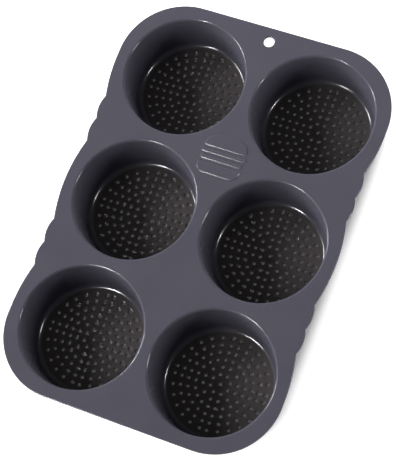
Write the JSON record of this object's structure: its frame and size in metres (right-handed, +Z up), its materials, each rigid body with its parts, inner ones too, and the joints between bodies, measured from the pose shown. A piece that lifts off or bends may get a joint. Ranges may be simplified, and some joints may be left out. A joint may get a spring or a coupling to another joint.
{
  "type": "hamburger bun pan",
  "caption": "Flexible bun mould: a thin plate with scalloped sides carries round tapered cups with finely perforated floors, and has a hole to hang it by.",
  "frame": {"origin": "middle of the pan, on the plane of the undersides of the cup floors that it stands on", "axes": "+Z up out of the cups; +Y along the pan, towards the end with the hanging hole; +X across it"},
  "size_m": [0.231, 0.341, 0.042],
  "materials": {
    "silicone": "satin dark grey silicone"
  },
  "bodies": {
    "root": {"bun_pan": "silicone"}
  },
  "joints": []
}
